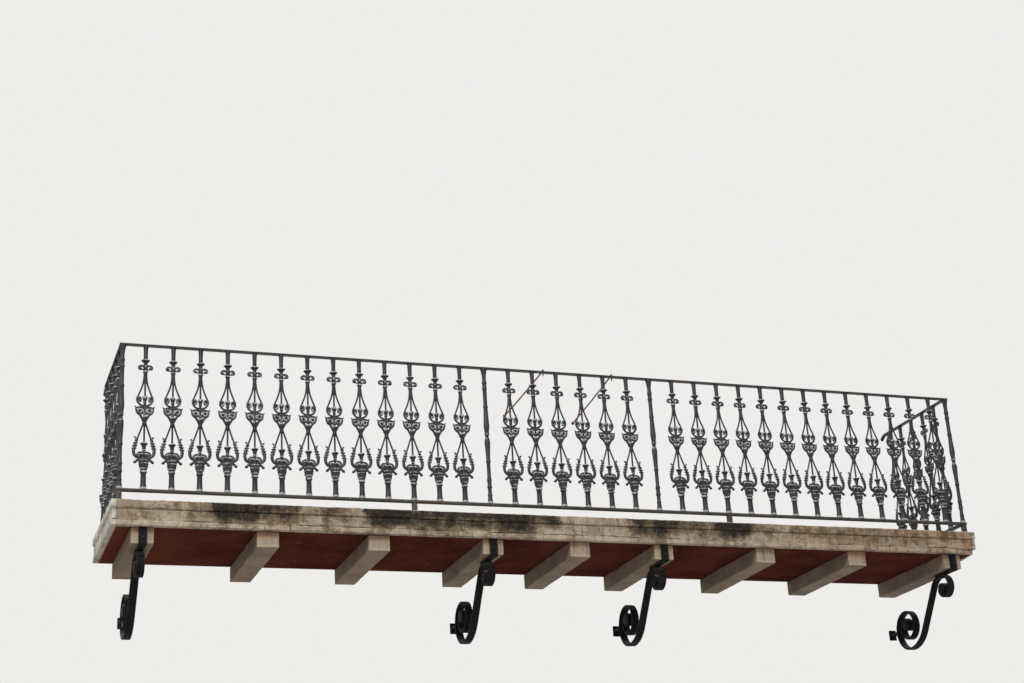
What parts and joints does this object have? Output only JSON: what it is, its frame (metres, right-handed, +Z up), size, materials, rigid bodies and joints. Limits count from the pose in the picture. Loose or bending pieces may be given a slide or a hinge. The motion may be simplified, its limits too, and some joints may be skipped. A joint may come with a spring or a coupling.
{
  "type": "wrought iron balcony",
  "caption": "Straight wall balcony: moulded stone floor on joists and scroll brackets, with a railing of cast lyre balusters between turned posts.",
  "frame": {"origin": "centre of the floor slab's flat back face, on the wall plane", "axes": "+X along the facade, to the right as seen from the street; +Y into the wall; +Z up"},
  "size_m": [5.821, 0.91, 1.6759],
  "materials": {
    "weathered_stone": "weathered cream stone with dark stains",
    "soffit_paint": "dull maroon paint",
    "joist_stone": "matt grey beige stone",
    "bracket_iron": "near black paint on forged bar",
    "dark_iron": "dark grey paint, worn",
    "rail_iron": "worn olive grey paint",
    "cast_iron": "dark blue grey paint on castings",
    "rusty_iron": "rusty brown"
  },
  "bodies": {
    "root": {"floor_slab": "weathered_stone", "fascia_front": "weathered_stone", "fascia_left": "weathered_stone", "fascia_right": "weathered_stone", "slab_core": "soffit_paint", "joist_1": "joist_stone", "joist_2": "joist_stone", "joist_3": "joist_stone", "joist_4": "joist_stone", "joist_5": "joist_stone", "joist_6": "joist_stone", "joist_7": "joist_stone", "joist_8": "joist_stone", "joist_9": "joist_stone", "bracket_1": "bracket_iron", "bracket_2": "bracket_iron", "bracket_3": "bracket_iron", "bracket_4": "bracket_iron", "handrail_front": "dark_iron", "handrail_left": "dark_iron", "handrail_right": "dark_iron", "bottom_rail_front": "rail_iron", "bottom_rail_left": "rail_iron", "bottom_rail_right": "rail_iron", "rail_feet": "dark_iron", "corner_post_left": "cast_iron", "corner_post_right": "cast_iron", "middle_post_left": "cast_iron", "middle_post_right": "cast_iron", "front_left_balusters": "cast_iron", "front_centre_balusters": "cast_iron", "front_right_balusters": "cast_iron", "left_side_balusters": "cast_iron", "right_side_balusters": "cast_iron", "stay_left": "rusty_iron", "stay_right": "rusty_iron"}
  },
  "joints": []
}
